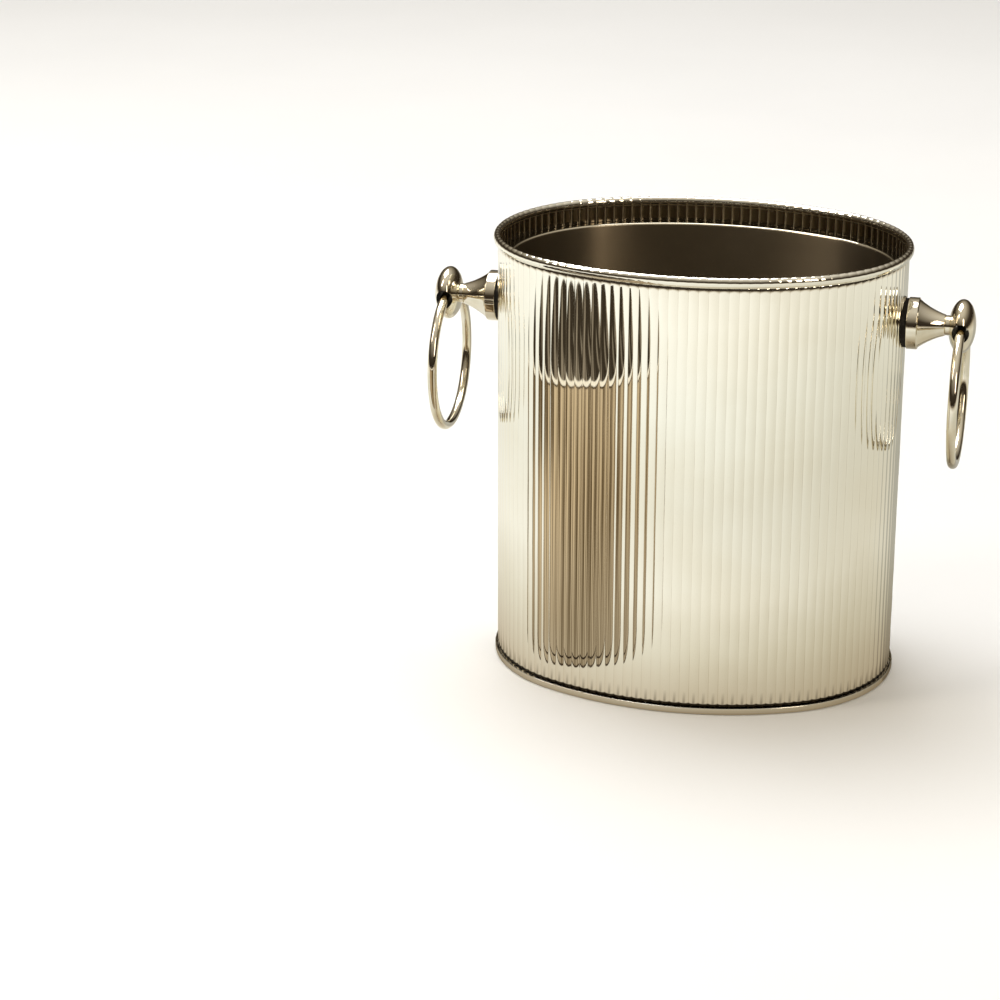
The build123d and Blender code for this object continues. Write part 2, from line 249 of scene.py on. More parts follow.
class Recipe:
    """One procedural material: a Principled shader and helpers that add its texture nodes."""

    def __init__(self, name, metallic, roughness):
        self.made = bpy.data.materials.new(name)
        self.made.use_nodes = True
        self.tree = self.made.node_tree
        self.shader = self.tree.nodes["Principled BSDF"]
        self.shader.inputs["Metallic"].default_value = metallic
        self.shader.inputs["Roughness"].default_value = roughness
        self.place = self.node("ShaderNodeTexCoord").outputs["Object"]
        self.bump = None

    def node(self, kind, **settings):
        made = self.tree.nodes.new(kind)
        for key, value in settings.items():
            setattr(made, key, value)
        return made

    def link(self, source, target):
        self.tree.links.new(source, target)

    def noise(self, scale, stretch=(1, 1, 1), detail=3.0):
        mapping = self.node("ShaderNodeMapping")
        mapping.inputs["Scale"].default_value = stretch
        self.link(self.place, mapping.inputs["Vector"])
        noise = self.node("ShaderNodeTexNoise")
        noise.inputs["Scale"].default_value = scale
        noise.inputs["Detail"].default_value = detail
        self.link(mapping.outputs["Vector"], noise.inputs["Vector"])
        return noise.outputs["Fac"]

    def mark(self, name):
        """A value that the mesh carries for each of its points."""
        return self.node("ShaderNodeAttribute", attribute_name=name).outputs["Fac"]

    def spots(self, scale):
        """0 at the middle of scattered points, growing outward."""
        cells = self.node("ShaderNodeTexVoronoi")
        cells.inputs["Scale"].default_value = scale
        self.link(self.place, cells.inputs["Vector"])
        return cells.outputs["Distance"]

    def spread(self, value, low, high, out_low=0.0, out_high=1.0):
        """Maps low to high onto out_low to out_high, smoothly and clamped."""
        spread = self.node("ShaderNodeMapRange", interpolation_type="SMOOTHSTEP")
        self.link(value, spread.inputs["Value"])
        for key, number in (("From Min", low), ("From Max", high), ("To Min", out_low), ("To Max", out_high)):
            spread.inputs[key].default_value = number
        return spread.outputs["Result"]

    def math(self, operation, first, second):
        made = self.node("ShaderNodeMath", operation=operation)
        for socket, value in zip(made.inputs, (first, second)):
            if isinstance(value, (int, float)):
                socket.default_value = value
            else:
                self.link(value, socket)
        return made.outputs["Value"]

    def mix(self, amount, first, second):
        """Two colours mixed by a texture value."""
        made = self.node("ShaderNodeMix", data_type="RGBA")
        self.link(amount, made.inputs["Factor"])
        for key, colour in (("A", first), ("B", second)):
            socket = [s for s in made.inputs if s.name == key and s.type == "RGBA"][0]
            if isinstance(colour, tuple):
                socket.default_value = (*colour, 1)
            else:
                self.link(colour, socket)
        return [s for s in made.outputs if s.type == "RGBA"][0]

    def vector(self, operation, first, second=None):
        """A vector sum; the second may be plain numbers."""
        made = self.node("ShaderNodeVectorMath", operation=operation)
        self.link(first, made.inputs[0])
        if isinstance(second, tuple):
            made.inputs[1].default_value = second
        elif second is not None:
            self.link(second, made.inputs[1])
        return made.outputs["Value" if operation in ("LENGTH", "DOT_PRODUCT") else "Vector"]

    def split(self, value):
        """The X, Y and Z of a vector."""
        parts = self.node("ShaderNodeSeparateXYZ")
        self.link(value, parts.inputs["Vector"])
        return parts.outputs["X"], parts.outputs["Y"], parts.outputs["Z"]

    def ramp(self, value, stops):
        """A colour ramp through (place, colour) stops."""
        made = self.node("ShaderNodeValToRGB")
        fill_ramp(made.color_ramp, stops)
        self.link(value, made.inputs["Fac"])
        return made.outputs["Color"]

    def colour(self, value):
        self.link(value, self.shader.inputs["Base Color"])

    def roughness(self, value):
        self.link(value, self.shader.inputs["Roughness"])

    def relief(self, value, distance):
        """Adds a bump of this real height; each call lies on the one before."""
        bump = self.node("ShaderNodeBump")
        bump.inputs["Distance"].default_value = distance
        bump.inputs["Strength"].default_value = 1.0
        self.link(value, bump.inputs["Height"])
        if self.bump:
            self.link(self.bump, bump.inputs["Normal"])
        self.bump = bump.outputs["Normal"]
        self.link(self.bump, self.shader.inputs["Normal"])


NICKEL_BRIGHT = (0.97, 0.945, 0.85)
NICKEL_WARM = (0.93, 0.89, 0.775)
CAST_BRIGHT = (0.83, 0.78, 0.66)
CAST_WARM = (0.76, 0.69, 0.54)
SHADED = (0.40, 0.325, 0.215)         # the dulled nickel inside the rim, darkened as painted shade
RIDGE_HIGHLIGHT = (0.97, 0.86, 0.64)             # painted highlight on its ridges
TARNISH = (0.42, 0.335, 0.21)
# near-black painted shade, for creases, the liner's corner and the balls' holes
SHADE_BLACK = (0.035, 0.027, 0.018)
SHADE_DARK = (0.08, 0.06, 0.038)
# the liner's steel darkened as painted shade, and a painted lit tone on its polished flange
LINER_SHADE_PALE = (0.24, 0.195, 0.135)
LINER_SHADE_STAINED = (0.21, 0.168, 0.112)
LINER_LIT_FLANGE = (0.85, 0.78, 0.62)


def nickel_sheet():
    """Bright nickel on the shell and pan: warm clouds, tarnish in the valleys that is partly painted shade,
    painted shade at the ribs' ends, dull and darker inside the rim as painted shade, with painted highlights
    on its ridges.
    """
    recipe = Recipe("nickel_sheet", 1.0, 0.08)
    inside, ridge = recipe.mark("inside"), recipe.mark("ridge")
    clouds = recipe.spread(recipe.noise(14, detail=4), 0.35, 0.7)
    patchy = recipe.spread(recipe.noise(60), 0.3, 0.75, 0.1, 0.5)
    # tarnish in the valleys and at the ribs' tips, partly painted shade
    tarnished = recipe.math("MULTIPLY", recipe.spread(recipe.mark("valley"), 0.86, 1.0), patchy)
    bare = recipe.mix(tarnished, recipe.mix(clouds, NICKEL_BRIGHT, NICKEL_WARM), TARNISH)
    # painted shade, near black, where the ribs end at the foot and under the rim
    outside = recipe.mix(recipe.mark("crease_shade"), bare, SHADE_BLACK)
    # inside the rim: painted shade, with painted highlights on the ridges
    recipe.colour(recipe.mix(inside, outside, recipe.mix(ridge, SHADED, RIDGE_HIGHLIGHT)))
    smears = recipe.noise(26, stretch=(1, 1, 0.25), detail=5)
    dulled = recipe.math("MULTIPLY", inside, 0.12)
    dulled = recipe.math("ADD", dulled, recipe.math("MULTIPLY", ridge, 0.3))
    recipe.roughness(recipe.math("ADD", dulled, recipe.spread(smears, 0.3, 0.8, 0.03, 0.08)))
    recipe.relief(recipe.noise(55, detail=2), 0.03 * MM)
    recipe.relief(recipe.noise(420, stretch=(1, 1, 0.05), detail=3), 0.0015 * MM)
    return recipe.made


def nickel_cast():
    """Nickel on the cast and hand-polished handle pieces: softer, with pits and dark specks."""
    recipe = Recipe("nickel_cast", 1.0, 0.1)
    clouds = recipe.spread(recipe.noise(60, detail=4), 0.35, 0.7)
    pits = recipe.spread(recipe.spots(900), 0.05, 0.13, 1.0, 0.0)
    few = recipe.spread(recipe.noise(130), 0.52, 0.66)
    specks = recipe.math("MULTIPLY", pits, few)
    recipe.colour(recipe.mix(specks, recipe.mix(clouds, CAST_BRIGHT, CAST_WARM), TARNISH))
    recipe.roughness(recipe.spread(recipe.noise(190, detail=5), 0.3, 0.75, 0.03, 0.1))
    recipe.relief(recipe.noise(150, detail=2), 0.02 * MM)
    recipe.relief(specks, -0.02 * MM)
    return recipe.made


def nickel_hollow():
    """The unpolished inside of the balls' holes, near black as painted shade."""
    recipe = Recipe("nickel_hollow", 0.5, 0.5)
    patches = recipe.spread(recipe.noise(400, detail=4), 0.35, 0.7)
    recipe.colour(recipe.mix(patches, SHADE_BLACK, SHADE_DARK))
    recipe.roughness(recipe.spread(recipe.noise(700), 0.3, 0.7, 0.4, 0.6))
    recipe.relief(recipe.noise(900, detail=2), 0.02 * MM)
    return recipe.made


def brushed_liner():
    """Steel brushed round the wall, dull, darkened as painted shade and a little stained, with a painted lit
    tone along its polished flange and painted shade in the flange's corner.
    """
    recipe = Recipe("brushed_liner", 1.0, 0.3)
    polish = recipe.mark("polish")
    stains = recipe.spread(recipe.noise(16, detail=4), 0.3, 0.75)
    steel = recipe.mix(stains, LINER_SHADE_PALE, LINER_SHADE_STAINED)
    # painted shade on the steel, a painted lit tone on the flange, near-black painted shade in the flange's
    # corner
    recipe.colour(recipe.mix(recipe.mark("corner"), recipe.mix(polish, steel, LINER_LIT_FLANGE), SHADE_BLACK))
    grain = recipe.noise(30, stretch=(0.25, 0.25, 60), detail=2)
    dull = recipe.math("SUBTRACT", 1.0, polish)
    brushed = recipe.math("MULTIPLY", dull, recipe.spread(grain, 0.3, 0.75, 0.34, 0.38))
    recipe.roughness(recipe.math("ADD", 0.07, brushed))
    recipe.relief(recipe.math("MULTIPLY", dull, grain), 0.0003 * MM)
    scratches = recipe.spread(recipe.noise(9, stretch=(0.8, 0.8, 60), detail=2), 0.68, 0.74)
    recipe.relief(recipe.math("MULTIPLY", dull, scratches), -0.003 * MM)
    recipe.shader.inputs["Anisotropic"].default_value = 0.9
    recipe.shader.inputs["Anisotropic Rotation"].default_value = 0.25
    tangent = recipe.node("ShaderNodeTangent", direction_type="RADIAL", axis="Z")
    recipe.link(tangent.outputs["Tangent"], recipe.shader.inputs["Tangent"])
    return recipe.made


def rubber():
    """Matte black rubber with a moulded grain and grey dust."""
    recipe = Recipe("rubber", 0.0, 0.8)
    recipe.shader.inputs["Specular IOR Level"].default_value = 0.2
    dust = recipe.spread(recipe.noise(320, detail=5), 0.5, 0.8)
    recipe.colour(recipe.mix(dust, (0.012, 0.010, 0.008), (0.05, 0.043, 0.034)))
    recipe.roughness(recipe.spread(recipe.noise(240), 0.3, 0.7, 0.7, 0.9))
    recipe.relief(recipe.noise(1400, detail=2), 0.02 * MM)
    return recipe.made


def sealant():
    """Grey cured sealant, lumpy where it was tooled."""
    recipe = Recipe("sealant", 0.0, 0.5)
    clouds = recipe.spread(recipe.noise(90), 0.3, 0.7)
    recipe.colour(recipe.mix(clouds, (0.52, 0.52, 0.49), (0.40, 0.39, 0.36)))
    recipe.relief(recipe.noise(160, detail=3), 0.15 * MM)
    return recipe.made


def drawn_steel():
    """Bright wire and sheet with draw lines and a trace of rust."""
    recipe = Recipe("drawn_steel", 1.0, 0.3)
    rust = recipe.spread(recipe.noise(120, detail=6), 0.62, 0.78)
    recipe.colour(recipe.mix(rust, (0.55, 0.55, 0.54), (0.28, 0.16, 0.09)))
    recipe.roughness(recipe.spread(recipe.noise(200, stretch=(1, 1, 8)), 0.3, 0.7, 0.22, 0.45))
    recipe.relief(recipe.noise(500, stretch=(1, 1, 6)), 0.01 * MM)
    return recipe.made


def zinc():
    """Zinc plate with faint yellow and blue clouds."""
    recipe = Recipe("zinc", 1.0, 0.28)
    clouds = recipe.spread(recipe.noise(240), 0.35, 0.65)
    recipe.colour(recipe.mix(clouds, (0.66, 0.67, 0.70), (0.68, 0.64, 0.52)))
    recipe.roughness(recipe.spread(recipe.noise(500), 0.3, 0.7, 0.2, 0.38))
    recipe.relief(recipe.noise(900), 0.006 * MM)
    return recipe.made


SHEET_NICKEL = nickel_sheet()
CAST_NICKEL = nickel_cast()
HOLLOW_NICKEL = nickel_hollow()
LINER_STEEL = brushed_liner()
RUBBER = rubber()
SEALANT = sealant()
DRAWN_STEEL = drawn_steel()
ZINC = zinc()


def dress(piece, made):
    """Gives a piece one material over all of it."""
    piece.data.materials.clear()
    piece.data.materials.append(made)


def stands_for(piece, node, made):
    """Puts a finished piece in the place of a CAD node, which it hides, and gives the piece this material."""
    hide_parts(node)
    dress(piece, made)


# ---------------------------------------------------------------- outer shell and rim
RIB_STEPS = 12                        # columns to a rib
CROWDING = 0.35                       # how strongly they gather beside the valleys
TIP_STEPS = 12                        # rows to a rib's rounded end
WALL_STEPS = 34                       # rows between the ends
TIP_LONG = 3.2 * MM                   # length over which a rib rises from its crease
TIP_ARCH = 1.3 * MM                   # how much further its middle reaches than its sides
FOOT_SHADE = 3.4 * MM                 # how far from the crease a tip is black with painted shade, at the foot
RIM_SHADE = 0.8 * MM                  # and under the rim
SHADE_FADE = 0.4 * MM
CREASE_SHARE = 0.6                    # deeper than this share of a crease, the face has no ripple
BEAD_SWELL = 0.2 * MM                 # how far the ribs show in the rolled bead
BEAD_STEPS = 46
THROAT_DROP = 2.4 * MM                # the plain strip inside, between the bead and the inner ribs
THROAT_STEPS = 9
ripple = waves(seed=11, count=7, shortest=22 * MM, longest=70 * MM, size=0.035 * MM)


def rib_columns():
    """Columns round the wall, closer together beside the valleys: distance, height of crest, side."""
    even = np.arange(RIB_STEPS) / RIB_STEPS * 2 - 1
    phases = np.sin(even * pi / 2) * CROWDING + even * (1 - CROWDING)
    distances = ((np.arange(RIB_COUNT)[:, None] + phases[None] / 2) * RIB_PITCH).ravel()
    across = np.tile(phases * RIB_PITCH / 2, RIB_COUNT)
    crest = (np.sqrt(RIB_ARC**2 - across**2) - (RIB_ARC - RIB_HEIGHT)) / RIB_HEIGHT
    return distances, crest, np.tile(np.abs(phases), RIB_COUNT)


def fluted_wall(crest, side, low, high):
    """Offsets, heights and painted crease shade of the ribbed face, whose ribs end in round tips at two
    creases.
    """
    valley_line = -RIB_HEIGHT * (1 - crest)
    offsets, heights, darkness = [], [], []

    def end_rows(crease_z, inward, shade_reach):
        for step in np.linspace(0, 1, TIP_STEPS):
            rise = sqrt(1 - (1 - step)**2)
            away = TIP_LONG * step + TIP_ARCH * side**2 * sqrt(step)
            offsets.append(-CREASE * (1 - rise) + valley_line * rise)
            heights.append(crease_z + inward * away)
            darkness.append(np.clip((shade_reach * (1 + 0.1 * side**6) - away) / SHADE_FADE, 0, 1))

    end_rows(low, 1, FOOT_SHADE)
    start, end = low + TIP_LONG + TIP_ARCH * side**2, high - TIP_LONG - TIP_ARCH * side**2
    for step in np.linspace(0, 1, WALL_STEPS)[1:-1]:
        offsets.append(valley_line)
        heights.append(start + (end - start) * step)
        darkness.append(np.zeros(len(side)))
    tops = len(offsets)
    end_rows(high, -1, RIM_SHADE)
    for rows in (offsets, heights, darkness):
        rows[tops:] = rows[tops:][::-1]
    return np.array(offsets), np.array(heights), np.array(darkness)


def outer_shell():
    """Round the sheet's section: the ribbed face, the bead, the ribs' backs and a foot in the pan."""
    distances, crest, side = rib_columns()
    middle, wide, tall = (RIM_OUT - RIM_IN) / 2, (RIM_OUT + RIM_IN) / 2, RIM_TALL / 2
    rim_z = HEIGHT - tall

    # the bead is an ellipse that starts at the wall's upper crease and ends inside it
    start = -degrees(np.arccos((-CREASE - middle) / wide))
    inner_line = -CREASE - SHEET
    end = 360 - degrees(np.arccos((inner_line - middle) / wide))
    crease_z = rim_z + tall * np.sin(radians(start))
    wall_offsets, wall_heights, darkness = fluted_wall(crest, side, PAN_LIP - CREASE_SUNK, crease_z)
    on_face = wall_offsets > -CREASE_SHARE * CREASE
    wall_offsets = wall_offsets + ripple(distances[None], wall_heights) * on_face

    turn = np.radians(np.linspace(start, end, BEAD_STEPS)[1:-1])[:, None]
    swell = BEAD_SWELL * (0.5 + 0.5 * np.sin(turn - radians(10))) * (crest[None] - 0.6)
    bead_offsets = middle + (wide + swell) * np.cos(turn)
    bead_heights = rim_z + (tall + swell) * np.sin(turn)

    # down the inside, fluted again below the bead
    inner_top = rim_z + tall * np.sin(radians(end))
    ease = np.concatenate([np.linspace(0, 1, THROAT_STEPS), np.ones(THROAT_STEPS)])[:, None]
    rise = np.sqrt(1 - (1 - ease)**2)
    inner_valley = -SHEET - INNER_RIB * side[None]**4
    inner_offsets = inner_line * (1 - rise) + inner_valley * rise
    throat = np.linspace(0, THROAT_DROP, THROAT_STEPS)
    ribbed = np.linspace(THROAT_DROP, inner_top - SHEET, THROAT_STEPS + 1)[1:]
    drop = np.concatenate([throat, ribbed])
    inner_heights = np.repeat(inner_top - drop[:, None], len(distances), 1)

    # and a plain foot inside the base pan
    foot_offsets = np.array([-CREASE - SHEET, -CREASE])[:, None] * np.ones(len(distances))
    foot_heights = np.full((2, len(distances)), SHEET)

    offsets = np.concatenate([wall_offsets, bead_offsets, inner_offsets, foot_offsets])
    heights = np.concatenate([wall_heights, bead_heights, inner_heights, foot_heights])
    bead_row = len(wall_offsets)
    inner_row = bead_row + len(bead_offsets)
    marks = {mark: np.zeros(offsets.shape) for mark in ("valley", "crease_shade", "inside", "ridge")}
    # tarnish in the valleys and at the ribs' tips, partly painted shade
    marks["valley"][:bead_row] = np.maximum(1 - crest[None], -wall_offsets / CREASE)
    # painted shade on the ribs' tips at both creases
    marks["crease_shade"][:bead_row] = darkness
    # painted shade inside the rim
    marks["inside"][inner_row:] = 1
    # painted highlight on the ribs' backs inside the rim
    marks["ridge"][inner_row:] = side[None]**6
    marks["ridge"][inner_row + 3:inner_row + 5] = 0.9      # a painted highlight line round the throat
    shell = grid_object("shell", oval_rows(distances, offsets, heights), marks=marks)
    stands_for(shell, "outer_shell", SHEET_NICKEL)


# ---------------------------------------------------------------- base pan and liner
PLAIN_COLUMNS = 720
plain = np.linspace(0, PERIMETER, PLAIN_COLUMNS, endpoint=False)
SPOKES = np.linspace(1, 0.04, 14)[1:]      # rings of a flat sheet, towards its middle


def flat_rings(ring):
    """Copies of a ring drawn in towards the middle, which fill a flat sheet."""
    shrink = SPOKES[:, None, None] * np.array([1, 1, 0])[None, None] + np.array([0, 0, 1])
    return ring[None] * shrink


def base_pan():
    """A flat sheet with an upturned lip round it, both sides and the lip's rounded edge."""
    inner = PAN_BEND - SHEET
    out_bend = arc((PAN_OUT - PAN_BEND, PAN_BEND), (PAN_BEND, PAN_BEND), -90, 0, 10)
    lip = np.concatenate([
        arc((PAN_OUT - LIP_EDGE, PAN_LIP - LIP_EDGE), (LIP_EDGE, LIP_EDGE), 0, 90, 6),
        arc((PAN_OUT - SHEET + LIP_EDGE, PAN_LIP - LIP_EDGE), (LIP_EDGE, LIP_EDGE), 90, 180, 6),
    ])
    in_bend = arc((PAN_OUT - PAN_BEND, PAN_BEND), (inner, inner), 0, -90, 6)
    outside = np.linspace((PAN_OUT, PAN_BEND), (PAN_OUT, PAN_LIP - LIP_EDGE), 6)[1:-1]
    profile = np.concatenate([out_bend, outside, lip, in_bend])
    wobble = waves(seed=3, count=5, shortest=40 * MM, longest=110 * MM, size=0.06 * MM)(plain, 0)
    wave = (profile[:, 1:2] > SHEET / 2) * wobble[None]     # the underside stays flat
    points = oval_rows(plain, profile[:, 0:1] + wave, profile[:, 1])
    points = np.concatenate([flat_rings(points[0])[::-1], points, flat_rings(points[-1])])
    pan = grid_object("pan", points, close_rows=False, caps=(0, -1))
    stands_for(pan, "base_pan", SHEET_NICKEL)


def liner_wall():
    """Wall and flange; the flange's edge follows the ribs that it lies against."""
    distances, crest, _ = rib_columns()
    top, foot = liner_high.z, liner_low.z
    inner = FLANGE_BEND - SHEET
    wall = -LINER_IN
    gap, soft = 0.25 * MM, 0.15 * MM
    edge = -SHEET - gap - RIB_HEIGHT * (1 - crest)
    bend_centre = (wall - SHEET + FLANGE_BEND, top - FLANGE_BEND)
    outer_bend = arc(bend_centre, (FLANGE_BEND, FLANGE_BEND), 90, 180, 10)
    inner_bend = arc(bend_centre, (inner, inner), 180, 90, 6)
    top_offsets = [edge - soft] + [edge * share + bend_centre[0] * (1 - share) for share in (0.75, 0.4)]
    rows = [(offset, top) for offset in top_offsets]
    rows += [(offset, height) for offset, height in outer_bend]
    rows += [(wall - SHEET, height) for height in np.linspace(top - FLANGE_BEND, foot, 40)[1:]]
    rows += [(wall, height) for height in np.linspace(foot, top - FLANGE_BEND, 12)]
    rows += [(offset, height) for offset, height in inner_bend[1:]]
    rows += [(edge - soft, top - SHEET), (edge, top - SHEET + soft), (edge, top - soft)]
    ones = np.ones(len(distances))
    offsets = np.array([offset * ones for offset, _ in rows])
    heights = np.array([height * ones for _, height in rows])
    sag = waves(seed=5, count=6, shortest=35 * MM, longest=120 * MM, size=0.08 * MM)
    down = np.clip((top - FLANGE_BEND - heights) / (20 * MM), 0, 1)
    offsets = offsets + sag(distances[None], heights) * down
    # the flange is polished down to its bend, where it also takes a painted lit tone, and is near black with
    # painted shade in the corner that it makes with the ribs
    polish = np.clip((heights - top + 1.1 * MM) / (0.4 * MM), 0, 1)
    corner = polish * np.clip((offsets - wall + 0.3 * MM) / (0.6 * MM), 0, 1)
    marks = {"polish": polish, "corner": corner}
    liner = grid_object("liner", oval_rows(distances, offsets, heights), marks=marks)
    stands_for(liner, "liner_wall", LINER_STEEL)


def liner_floor():
    """A slightly dished sheet whose edge turns down inside the liner's wall."""
    edge = floor_high.x - HALF_LENGTH
    top, foot = floor_high.z, floor_low.z
    inner = FLOOR_BEND - SHEET
    centre = (edge - FLOOR_BEND, top - FLOOR_BEND)
    profile = np.concatenate([
        arc(centre, (FLOOR_BEND, FLOOR_BEND), 90, 0, 12),
        np.linspace((edge, foot + 0.2 * MM), (edge - 0.2 * MM, foot), 2),
        np.linspace((edge - SHEET, foot), (edge - SHEET, top - FLOOR_BEND), 3),
        arc(centre, (inner, inner), 0, 90, 8)[1:],
    ])
    points = oval_rows(plain, profile[:, 0], profile[:, 1])
    points = np.concatenate([flat_rings(points[0])[::-1], points, flat_rings(points[-1])])
    dish = waves(seed=9, count=5, shortest=60 * MM, longest=160 * MM, size=0.12 * MM)
    outward = np.hypot(points[..., 0] / floor_high.x, points[..., 1] / floor_high.y)
    inside = np.clip(1 - outward, 0, 0.2) / 0.2
    points[..., 2] += dish(points[..., 0], points[..., 1]) * inside
    sheet = grid_object("liner_bottom", points, close_rows=False, caps=(0, -1))
    stands_for(sheet, "liner_floor", LINER_STEEL)


# ---------------------------------------------------------------- handles
def handle_post(side, sign):
    """A turned drum foot with softened edges that flares in to a neck, bored for its screw."""
    drum_face = GASKET_FACE + DRUM_LONG
    profile = np.concatenate([
        np.linspace((GASKET_FACE, BORE_RADIUS), (GASKET_FACE, DRUM_RADIUS - DRUM_EDGE), 4),
        arc((GASKET_FACE + DRUM_EDGE, DRUM_RADIUS - DRUM_EDGE), (DRUM_EDGE, DRUM_EDGE), 180, 90, 7)[1:],
        np.linspace((GASKET_FACE + DRUM_EDGE, DRUM_RADIUS), (drum_face - DRUM_EDGE, DRUM_RADIUS), 6)[1:],
        arc((drum_face - DRUM_EDGE, DRUM_RADIUS - DRUM_EDGE), (DRUM_EDGE, DRUM_EDGE), 90, 20, 7)[1:],
        arc_through((drum_face + 0.15 * MM, DRUM_RADIUS - 1.0 * MM),
                    (drum_face + FLARE_LONG, FLARE_RADIUS), (POST_END - POST_SOFT, NECK_RADIUS), 40),
        np.linspace((POST_END, NECK_RADIUS - POST_SOFT), (POST_END, BORE_RADIUS), 4),
        np.linspace((POST_END, BORE_RADIUS), (GASKET_FACE, BORE_RADIUS), 6)[1:-1],
    ])
    post = grid_object(side + "_post", turned(profile, sign))
    stands_for(post, side + "_handle_post", CAST_NICKEL)


def eye_tool(sign):
    """The hole's shape: straight in the middle and opening towards both mouths."""
    bend = EYE_FLARE * 2
    middle = (BALL_RADIUS * EYE_MIDDLE[0], EYE_RADIUS + EYE_MIDDLE[1] * EYE_FLARE)
    mouth = (BALL_RADIUS + bend, EYE_RADIUS + bend)
    flare_arc = arc_through((EYE_STRAIGHT, EYE_RADIUS), middle, mouth, 14)
    half = np.concatenate([np.linspace((0, EYE_RADIUS), (EYE_STRAIGHT, EYE_RADIUS), 6)[:-1], flare_arc])
    profile = np.concatenate([half[::-1] * (-1, 1), half[1:]])
    turn = np.linspace(0, 2 * pi, 96, endpoint=False)
    points = np.zeros((len(profile), len(turn), 3))
    points[..., 0] = sign * BALL_X + profile[:, 1:2] * np.cos(turn)[None]
    points[..., 1] = profile[:, 0:1]
    points[..., 2] = EYE_Z + profile[:, 1:2] * np.sin(turn)[None]
    return grid_object("eye_tool", points, close_rows=False, caps=(0, -1), body=None)


def ball_knob(side, sign):
    """A flattened ball on a short collar, with the ring's hole cut across it."""
    tiny = 0.15 * MM                    # the profile stops just short of its axis
    first = degrees(asin(COLLAR_RADIUS / BALL_RADIUS))
    ball = arc((BALL_X, 0), (-BALL_HALF_THICK, BALL_RADIUS), first, 179.4, 110)
    profile = np.concatenate([
        np.linspace((POST_END, tiny), (POST_END, COLLAR_RADIUS - POST_SOFT), 5),
        np.linspace((POST_END + POST_SOFT, COLLAR_RADIUS), ball[0], 4)[:-1],
        ball,
    ])
    points = turned(profile, sign, 160)
    solid = grid_object(side + "_ball_blank", points, close_rows=False, caps=(0, -1), body=None)
    tool = eye_tool(sign)
    cut = solid.modifiers.new("eye", "BOOLEAN")
    cut.operation = "DIFFERENCE"
    cut.solver = "EXACT"
    cut.object = tool
    ready = solid.evaluated_get(bpy.context.evaluated_depsgraph_get())
    mesh = bpy.data.meshes.new_from_object(ready)
    bpy.data.objects.remove(solid)
    bpy.data.objects.remove(tool)
    knob = finish_mesh(side + "_knob", mesh, BUCKET)
    mesh.set_sharp_from_angle(angle=radians(28))
    stands_for(knob, side + "_ball_knob", CAST_NICKEL)
    mesh.materials.append(HOLLOW_NICKEL)                   # painted shade on the faces that line the hole
    for face in mesh.polygons:
        places = [mesh.vertices[corner].co for corner in face.vertices]
        reach = max(sqrt((place.x - sign * BALL_X)**2 + (place.z - EYE_Z)**2) for place in places)
        face.material_index = int(reach < EYE_RADIUS + 0.05 * MM)


def ring(side, sign):
    """Bent wire, a hair out of round."""
    round_ring = np.linspace(0, 2 * pi, 320, endpoint=False)[None]
    round_wire = np.linspace(0, 2 * pi, 36, endpoint=False)[:, None]
    uneven = 0.05 * MM * np.sin(3 * round_ring + sign) + 0.04 * MM * np.sin(5 * round_ring + 2)
    wire = RING_WIRE + 0.03 * MM * np.sin(7 * round_ring + sign) - 0.03 * MM
    reach = RING_RADIUS + uneven - 0.06 * MM + wire * np.cos(round_wire)
    points = np.zeros(reach.shape + (3,))
    points[..., 0] = sign * BALL_X + wire * np.sin(round_wire)
    points[..., 1] = reach * np.sin(round_ring)
    points[..., 2] = RING_Z + reach * np.cos(round_ring)
    hoop = grid_object(side + "_hoop", points, body=side + "_ring")
    stands_for(hoop, side + "_ring", CAST_NICKEL)


outer_shell()
base_pan()
liner_wall()
liner_floor()
for side, sign in SIDES:
    handle_post(side, sign)
    ball_knob(side, sign)
    ring(side, sign)

# ---------------------------------------------------------------- CAD nodes that stay
dress(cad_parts["rim_wire"], DRAWN_STEEL)
dress(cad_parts["flange_seal"], SEALANT)
for side, sign in SIDES:
    dress(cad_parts[side + "_gasket"], RUBBER)
    dress(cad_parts[side + "_backing_plate"], DRAWN_STEEL)
    dress(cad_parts[side + "_spring_washer"], DRAWN_STEEL)
    dress(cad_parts[side + "_handle_screw"], ZINC)


# ---------------------------------------------------------------- floor, cards and lights
def stage_square(name, half, height, made):
    """A flat square of the studio, centred under the bucket."""
    corners = [(-half, -half, height), (half, -half, height), (half, half, height), (-half, half, height)]
    mesh = bpy.data.meshes.new(name)
    mesh.from_pydata(corners, [], [(0, 1, 2, 3)])
    plane = bpy.data.objects.new(name, mesh)
    bpy.context.scene.collection.objects.link(plane)
    dress(plane, made)
    return plane


def floor_paint():
    """Matt pale paint, very slightly uneven."""
    recipe = Recipe("floor_paint", 0.0, 0.85)
    clouds = recipe.spread(recipe.noise(3), 0.3, 0.7)
    recipe.colour(recipe.mix(clouds, (0.86, 0.872, 0.89), (0.845, 0.857, 0.875)))
    return recipe.made


FLOOR_HALF = 6.0
FLOOR_PAINT = floor_paint()
stage_square("floor", FLOOR_HALF, 0, FLOOR_PAINT)


def area_light(name, place, target, size, power, colour=(1, 1, 1)):
    """A soft rectangular lamp at a place, facing a target."""
    light = bpy.data.lights.new(name, "AREA")
    light.shape = "RECTANGLE"
    light.size, light.size_y = size
    light.energy = power
    light.color = colour
    lamp = bpy.data.objects.new(name, light)
    lamp.location = place
    lamp.rotation_euler = (Vector(target) - Vector(place)).to_track_quat("-Z", "Y").to_euler()
    bpy.context.scene.collection.objects.link(lamp)


